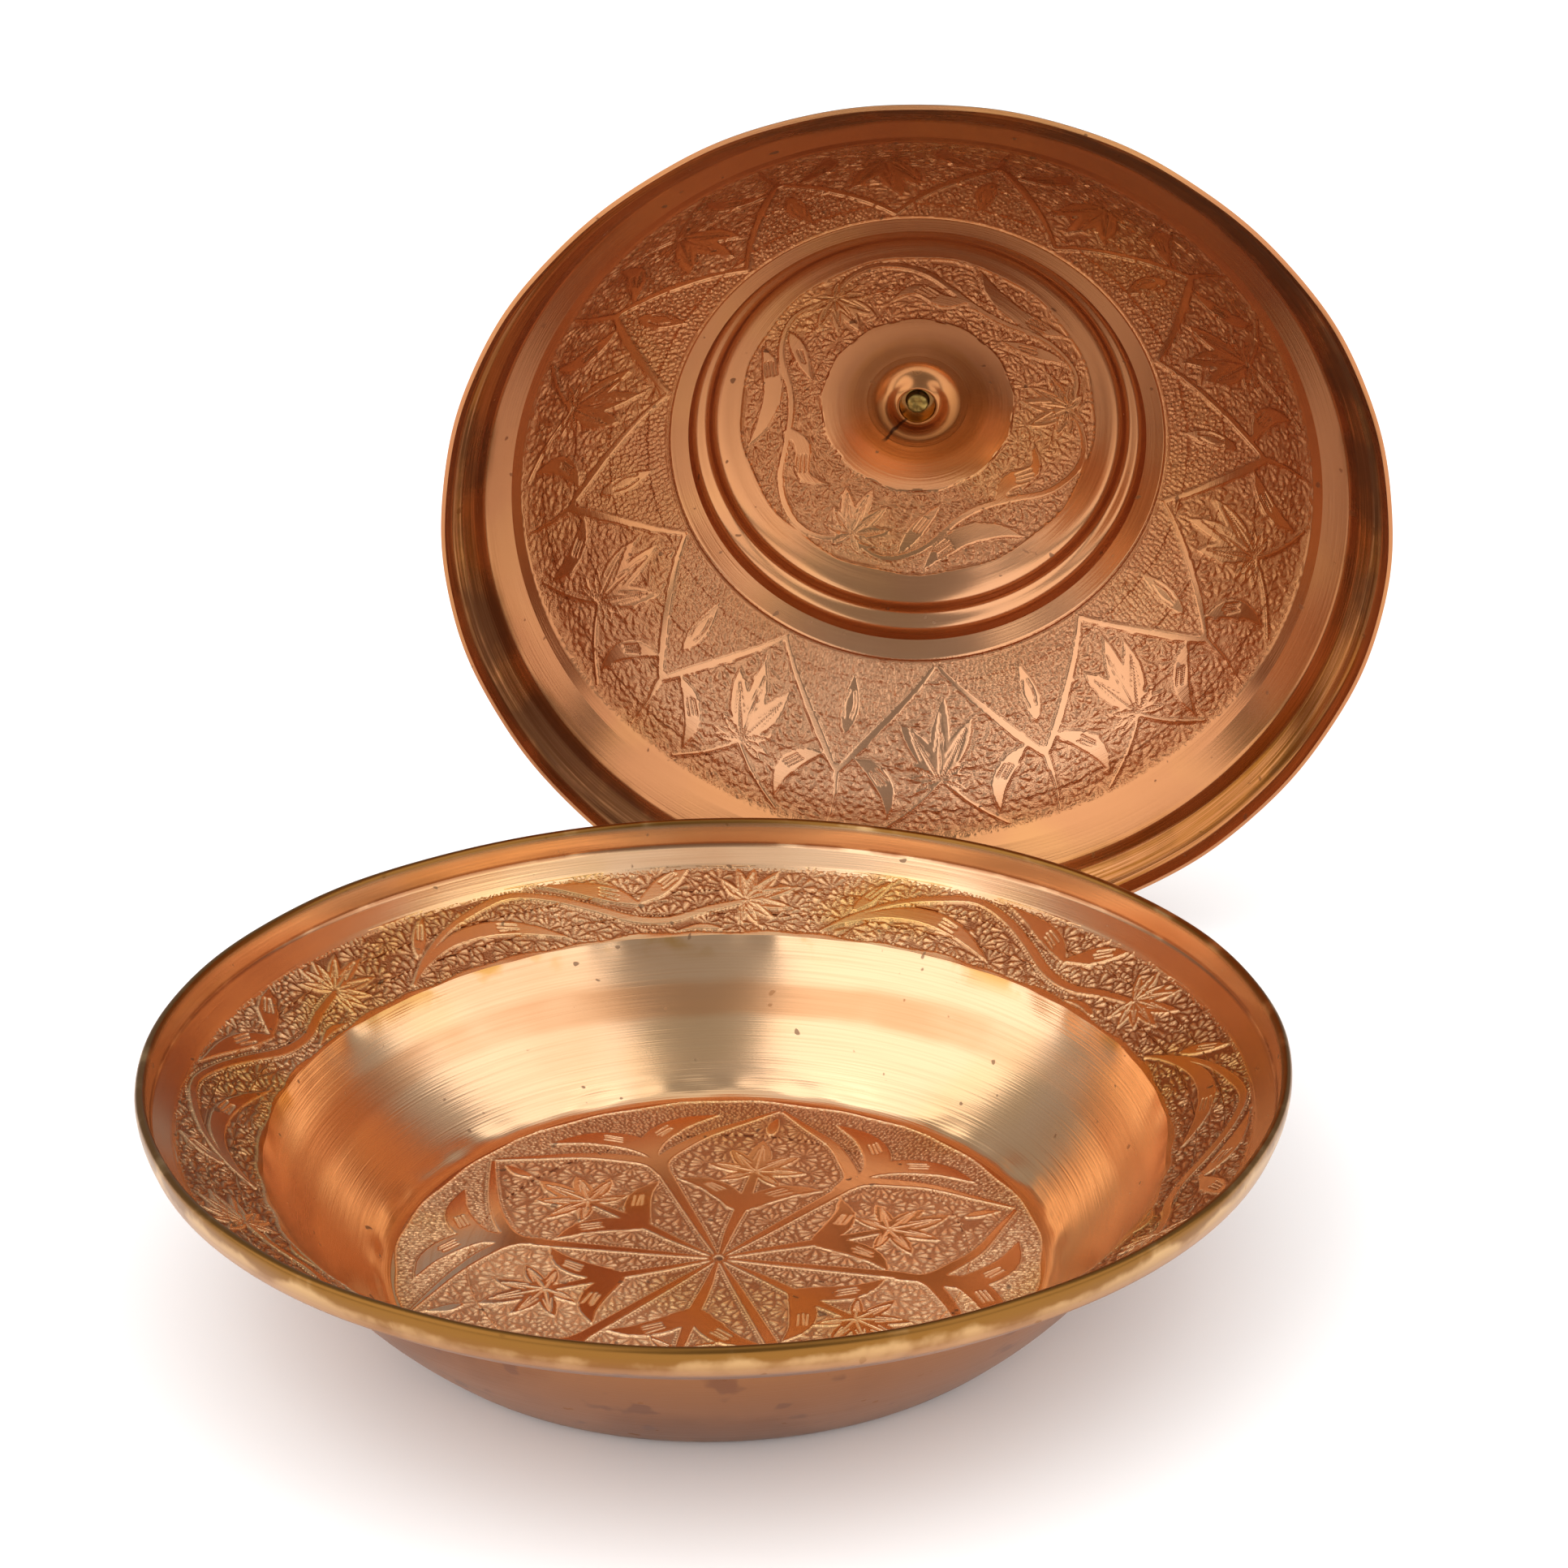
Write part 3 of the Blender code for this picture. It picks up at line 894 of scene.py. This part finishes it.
def lid_copper():
    """The lid: browner than the dish, golden round the hole, and with dark patina behind its rim.

    Its own Y axis points down as it stands: its lower part is made lighter, as painted light, and its
    left and right sides darker, as painted shade.
    """
    m, colour, rough = worked_copper(
        "lid_copper", (0.54, 0.235, 0.10), 0.8, 0.15, 0.15, slope=-1.0, brushed=0.015, dirt=0.5
    )
    parts = m.parts()
    cloud = m.noise(38.0, 4.0, 5.0)
    radius = m.sum(cloud, 0.005, m.radius())
    # Painted light: the lid's lower part, inside the dark ring, is made lighter.
    painted_lower_light = m.step(m.sum(cloud, 0.05, parts["Y"]), 0.04, 0.12, 0.85)
    painted_lower_light = m.product(painted_lower_light, m.step(radius, 0.098, 0.090))
    colour = m.blend(painted_lower_light, colour, (0.72, 0.40, 0.23))
    # Painted shade: the lid's left and right sides are made darker.
    painted_side_shade = m.step(m.sum(cloud, 0.02, m.size_of(parts["X"])), 0.055, 0.1, 0.45)
    colour = m.blend(painted_side_shade, colour, (0.38, 0.14, 0.06))
    lines = m.noise(1.0, 2.0, 3.0, m.rings(-1.0))
    ring = m.product(m.step(radius, 0.1050, 0.1085), m.step(radius, 0.1150, 0.1125))
    colour = m.blend(m.product(ring, m.step(lines, 0.2, 0.7, 0.9)), colour, (0.29, 0.10, 0.01))
    slant = m.size_of(m.sum(parts["X"], -3.0, m.product(parts["Y"], 3.0)))
    patch = m.product(ring, m.step(m.sum(slant, 0.9, m.sum(lines, 0.35, cloud)), 0.8, 1.1, 0.75))
    colour = m.blend(patch, colour, DARK)
    boss = m.step(radius, 0.0215, 0.0195)
    colour = m.blend(m.product(boss, m.step(cloud, 0.2, 0.6, 0.8)), colour, (0.44, 0.175, 0.05))
    inputs = {"Vector": m.place, "Angle": CRACK_ANGLE}
    along = m.parts(m.node("ShaderNodeVectorRotate", inputs, rotation_type="Z_AXIS").outputs[0])
    bent = m.sum(m.noise(300.0, 1.0, 1.0), 0.0016, m.sum(along["Y"], 1.0, -0.0008))
    crack = m.product(m.step(m.size_of(bent), 0.0006, 0.0002), m.step(along["X"], 0.0150, 0.0130))
    crack = m.product(crack, m.step(along["X"], 0.004, 0.005, 0.9))
    colour = m.blend(crack, colour, DARK)
    return m.finish(colour, m.sum(patch, 0.2, rough))


def turned_brass(name, bright, worn, gloss, patches, coarse):
    """Brass with worn patches, of a size set by patches, and a surface as rough as coarse says."""
    m = Metal(name)
    cloud = m.noise(patches, 1.0, 4.0)
    lines = m.noise(1.0, 0.9, 2.0, m.rings(-1.0))
    colour = m.blend(m.step(cloud, 0.4, 0.68, 0.8), bright, worn)
    colour = m.blend(m.step(lines, 0.5, 0.8, 0.35), colour, worn)
    m.bump((m.noise(700.0, 2.0, 3.0), coarse), (lines, 0.02))
    return m.finish(colour, m.sum(cloud, 0.16, gloss))


FLOOR_COPPER = dish_copper(
    "dish_floor", (0.80, 0.51, 0.32), brown=0.3, gold=0.5, gloss=0.12,
    slope=0.0, brushed=0.0, dirt=0.9, ground=(0.99, 0.61, 0.33),
)
WALL_COPPER = wall_copper()
FLANGE_COPPER = dish_copper(
    "dish_flange", (0.86, 0.53, 0.28), brown=0.35, gold=0.8, gloss=0.16, brushed=0.01, dirt=0.85
)
BODY_COPPER = body_copper()
LID_COPPER = lid_copper()
KNOB_BRASS = turned_brass(
    "knob_brass", (0.80, 0.58, 0.26), (0.50, 0.32, 0.12), gloss=0.14, patches=120.0, coarse=0.01
)
TANG_BRASS = turned_brass(
    "tang_brass", (0.50, 0.35, 0.10), (0.15, 0.10, 0.03), gloss=0.34, patches=500.0, coarse=0.3
)

# ---------------- dish pieces

SMOOTH_COLUMNS = 720


def dish_piece(obj, material):
    return put_on(obj, "dish", "dish_shell", material)


flat = floor_relief()
for piece in (
    floor_disc("floor_rosette", *flat, ROSETTE_CUT, 280),
    floor_ring("floor_petals", *flat, ROSETTE_CUT, PETALS_CUT, 1120),
    floor_ring("floor_border", *flat, PETALS_CUT, FLOOR_EDGE[0], 1420),
):
    dish_piece(piece, FLOOR_COPPER)


def waves(angle, *parts):
    """Sums (size, times round, start) waves."""
    return sum(size * np.sin(times * angle + start) for size, times, start in parts)


def uneven_edge(radius, height, angle):
    """The hand-made edges at the wall's top and foot, which the flange follows too."""
    top = waves(angle, (0.16, 7, 0.3), (0.14, 17, 1.0), (0.10, 31, 2.0), (0.07, 53, 0.5))
    foot = waves(angle, (0.20, 9, 0.0), (0.16, 21, 1.3), (0.10, 37, 0.4))
    top = top * np.exp(-(((radius - WALL_TOP[0]) / 1.6) ** 2))
    foot = foot * np.exp(-(((radius - WALL_FOOT[0]) / 1.5) ** 2))
    return radius + top + foot, height


def beaten_wall(radius, height, angle):
    """Slow waves left by the hammer, with the uneven edge at the top."""
    up = share((radius - FLOOR_EDGE[0]) / (WALL_TOP[0] - FLOOR_EDGE[0]))
    slow = waves(angle + height / 400, (0.06, 9, 0.0), (0.025, 19, 1.0))
    return uneven_edge(radius + slow * np.sin(math.pi * up), height, angle)


def uneven_lip(radius, height, angle):
    """The dish's lip, a little out of round and out of level."""
    near = share((height - 44) / 6)
    out = waves(angle, (0.18, 3, 0.4), (0.12, 8, 1.5), (0.06, 19, 0.2))
    up = waves(angle, (0.15, 2, 1.0), (0.10, 5, 0.1), (0.06, 13, 2.2))
    return radius + out * near, height + up * near


def uneven_rim(radius, height, angle):
    """The lid's rim, a little out of round."""
    near = share((8 - height) / 6)
    out = waves(angle, (0.22, 4, 0.9), (0.15, 9, 0.0), (0.07, 22, 1.1))
    return radius + (out - 0.3) * near, height


wall = sheet_section(wall_profile(0.8), INLAY)
dish_piece(turned("dish_wall", wall, SMOOTH_COLUMNS, wobble=beaten_wall), WALL_COPPER)

profile, height, recess = flange_relief()
whole = np.array(profile[::-1])
for number, rows in enumerate(cut_rows(len(whole), 3), 1):
    layers = [(0, height[::-1][rows], recess[::-1][rows])]
    ring = inlay_section(whole[rows])
    piece = turned(f"flange_{number}", ring, FLANGE_COLUMNS, layers, wobble=uneven_edge)
    dish_piece(piece, FLANGE_COPPER)


def body_section():
    """The outer half of the dish's sheet, with the seat and the lip: (section, marks)."""
    flange = resample([WALL_TOP, FLANGE_TOP], 2.0)
    inner = np.concatenate([[(AXIS, FLOOR_HEIGHT)], wall_profile(2.0), flange[1:]])
    middle = inner + normals_of(inner) * INLAY
    seat = resample([FLANGE_TOP, LIP_CREASE], 0.8)
    lip = through(LIP, 4)
    outer_line = np.concatenate([inner, seat[1:]])
    outer = outer_line + normals_of(outer_line) * DISH_SHEET
    outer = outer[outer[:, 1] < UNDER_LIP]
    section = np.concatenate([middle[:-1], seat, lip[1:], outer[::-1]])
    inside = len(middle) - 1 + len(seat)
    along = np.arange(len(section)) - inside
    on_lip = np.interp(along, [6, 9, len(lip) - 5, len(lip)], [0, 1, 1, 0])
    outside = np.interp(along, [len(lip) - 9, len(lip) + 1], [0, 1])
    # The crease mark says where the painted shade of the fold from seat to lip goes.
    crease = np.interp(along, [-2, -1, 0, 1], [0, 1, 1, 0])
    return section, {"lip": on_lip, "outside": outside, "crease": crease}


section, marks = body_section()
body = turned("dish_body", section, SMOOTH_COLUMNS, marks=marks, wobble=uneven_lip)
dish_piece(body, BODY_COPPER)

# ---------------- lid pieces

LID_MATRIX = Matrix.Translation(LID_CENTRE) @ LID_TURN.to_matrix().to_4x4()
LID_DEPTH = 0.42

# On the hollow side the relief stands out further than it sinks outside, and its recess counts for less,
# so its gaps get less painted shade.
BACK_HEIGHT = 1.2
BACK_RECESS = 0.5


def lid_piece(obj, node, material):
    obj.matrix_world = LID_MATRIX
    return put_on(obj, "lid", node, material)


def sheet_ring(name, profile, columns, relief=None, zone=None, parts=1):
    """A ring of the lid's sheet, or several where it has a relief, which sinks into the outside
    and stands out on the inside."""
    section = sheet_section(profile, LID_SHEET)
    if relief is None:
        piece = turned(name, section, columns, wobble=uneven_rim)
        lid_piece(piece, "lid_shell", LID_COPPER)
        return
    height, recess = finished(relief, zone, LID_DEPTH, LID_GRAIN)
    back = -BACK_HEIGHT * height
    worked = recess * BACK_RECESS
    for number, rows in enumerate(cut_rows(len(profile), parts), 1):
        inner = section[: len(profile)][rows]
        outer = section[len(profile):][::-1][rows]
        loop = np.concatenate([inner, outer[::-1]])
        layers = [(0, back[rows], worked[rows]), (len(inner), height[rows][::-1], recess[rows][::-1])]
        piece = turned(f"{name}_{number}", loop, columns, layers)
        lid_piece(piece, "lid_shell", LID_COPPER)


sheet_ring("lid_rim", resample(LID_SKIRT, 0.8), SMOOTH_COLUMNS)
band = band_profile()
sheet_ring("lid_band", band, BAND_COLUMNS, *band_relief(band), parts=5)
sheet_ring("lid_steps", through(LID_STEPS, 5), 512)
crown = crown_profile()
sheet_ring("lid_crown", crown, CROWN_COLUMNS, *crown_relief(crown), parts=3)
sheet_ring("lid_boss", through(LID_BOSS, 6), 256)


def arc(centre, radius, start, end, count):
    """Points on an arc in a turned section, from one angle to another in degrees."""
    angles = np.radians(np.linspace(start, end, count))
    return np.stack([radius * np.cos(angles), centre + radius * np.sin(angles)], 1)


def knob_section():
    ball = KNOB_SEAT + 17.7
    foot = KNOB_SEAT + 5.1
    edge = KNOB_SEAT + 1.3
    neck = through([(5.3, ball - 9.1), (4.7, ball - 10.3), (4.6, foot + 1.0), (4.6, foot)], 5)
    return np.concatenate([
        arc(ball + 12.1, 3.2, 89, -30, 24),
        arc(ball, 10.5, 68, -58, 48),
        neck,
        curve((4.6, foot), (4.6, edge), (9.2, edge), 10)[1:],
        arc(edge - 0.4, 0.4, 90, 0, 5) + [9.1, 0],
        arc(KNOB_SEAT + 0.3, 0.3, 0, -90, 4) + [9.2, 0],
        [(TANG_HOLE, KNOB_SEAT), (TANG_HOLE, KNOB_SEAT + 8.2), (AXIS, KNOB_SEAT + 8.2)],
    ])


def collar_section():
    top = COLLAR_SEAT + 1.7
    return np.concatenate([
        [(TANG_HOLE, top), (9.9, top), (10.6, top - 0.1)],
        arc(top - 0.65, 0.5, 60, 0, 5) + [COLLAR_RADIUS - 0.5, 0],
        arc(COLLAR_SEAT + 0.5, 0.5, 0, -90, 5) + [COLLAR_RADIUS - 0.5, 0],
        [(TANG_HOLE, COLLAR_SEAT)],
    ])


def tang_section():
    top = KNOB_SEAT + 8.0
    return np.array([
        (AXIS, top), (2.5, top), (TANG_RADIUS, top - 0.3), (TANG_RADIUS, TANG_END + 0.7),
        (2.6, TANG_END + 0.25), (2.1, TANG_END + 0.05), (1.3, TANG_END), (0.7, TANG_END + 0.1),
        (AXIS, TANG_END + 0.15),
    ])


def filed_end(radius, height, angle):
    """The rod's rough end, cut a little askew."""
    near = share((TANG_END + 1.5 - height) / 1.5) * radius / TANG_RADIUS
    return radius, height + near * waves(angle, (0.22, 1, 0.6), (0.10, 3, 2.0), (0.06, 7, 0.0))


lid_piece(turned("knob_turned", knob_section(), 128), "lid_knob", KNOB_BRASS)
lid_piece(turned("collar_turned", collar_section(), 128), "knob_collar", KNOB_BRASS)
tang = turned("tang_rod", tang_section(), 64, wobble=filed_end)
lid_piece(tang, "knob_tang", TANG_BRASS)

# ---------------- ground, lights and camera

# The ground is a little under the dish's base, so that the two faces are not in one plane.
GROUND_DROP = 0.2 * MM
GROUND_HALF = 3
PAPER = (0.92, 0.92, 0.92, 1)

corners = [(x * GROUND_HALF, y * GROUND_HALF, 0) for x, y in ((-1, -1), (1, -1), (1, 1), (-1, 1))]
mesh = bpy.data.meshes.new("ground")
mesh.from_pydata(corners, [], [(0, 1, 2, 3)])
ground = placed("ground", mesh)
ground.location.z = -GROUND_DROP
paper = bpy.data.materials.new("paper")
paper.use_nodes = True
paper_shader = paper.node_tree.nodes["Principled BSDF"]
paper_shader.inputs["Base Color"].default_value = PAPER
paper_shader.inputs["Roughness"].default_value = 0.8
mesh.materials.append(paper)

# The dome lights the ground more than it shows in the metal, as a dark studio round it would.
DOME = 1.15
DOME_IN_METAL = 0.34
PANEL_DISTANCE = 1.3
PANEL_MIDDLE = 1.9
PANEL_HEIGHT = 3.4

world = bpy.data.worlds.new("studio")
bpy.context.scene.world = world
world.use_nodes = True
sky = world.node_tree
sky.nodes["Background"].inputs["Color"].default_value = (1, 1, 1, 1)
rays = sky.nodes.new("ShaderNodeLightPath")
dimmer = sky.nodes.new("ShaderNodeMapRange")
dimmer.inputs["To Min"].default_value = DOME
dimmer.inputs["To Max"].default_value = DOME_IN_METAL
sky.links.new(rays.outputs["Is Glossy Ray"], dimmer.inputs["Value"])
sky.links.new(dimmer.outputs[0], sky.nodes["Background"].inputs["Strength"])


def softbox(name, place, turn, size, brightness):
    """A rectangular panel of light, whose brightness is its radiance."""
    lamp = bpy.data.lights.new(name, "AREA")
    lamp.shape = "RECTANGLE"
    lamp.size, lamp.size_y = size
    lamp.energy = brightness * math.pi * size[0] * size[1]
    obj = placed(name, lamp)
    obj.location = place
    obj.rotation_euler = turn


for name, azimuth, width, brightness in (("left", -61, 2.4, 1.3), ("right", 66, 1.75, 1.12)):
    angle = math.radians(azimuth)
    place = (PANEL_DISTANCE * math.sin(angle), -PANEL_DISTANCE * math.cos(angle), PANEL_MIDDLE)
    softbox(name, place, (math.pi / 2, 0, angle), (width, PANEL_HEIGHT), brightness)
softbox("top", (0, 0.2, 2.2), (0, 0, 0), (2.4, 1.5), 0.5)

# The photograph's camera, solved from the two circular rims: it looks along +Y and down.
CAMERA_PLACE = (0.01531, -0.67041, 0.39231)
CAMERA_TILT = math.radians(67.18)
CAMERA_ROLL = math.radians(-0.716)
CAMERA_LENS = 82.31

camera = placed("camera", bpy.data.cameras.new("camera"))
camera.data.sensor_width = 36
camera.data.lens = CAMERA_LENS
camera.matrix_world = (
    Matrix.Translation(CAMERA_PLACE)
    @ Matrix.Rotation(CAMERA_TILT, 4, "X")
    @ Matrix.Rotation(CAMERA_ROLL, 4, "Z")
)
bpy.context.scene.camera = camera
bpy.context.scene.view_settings.view_transform = "Standard"

bpy.context.view_layer.update()
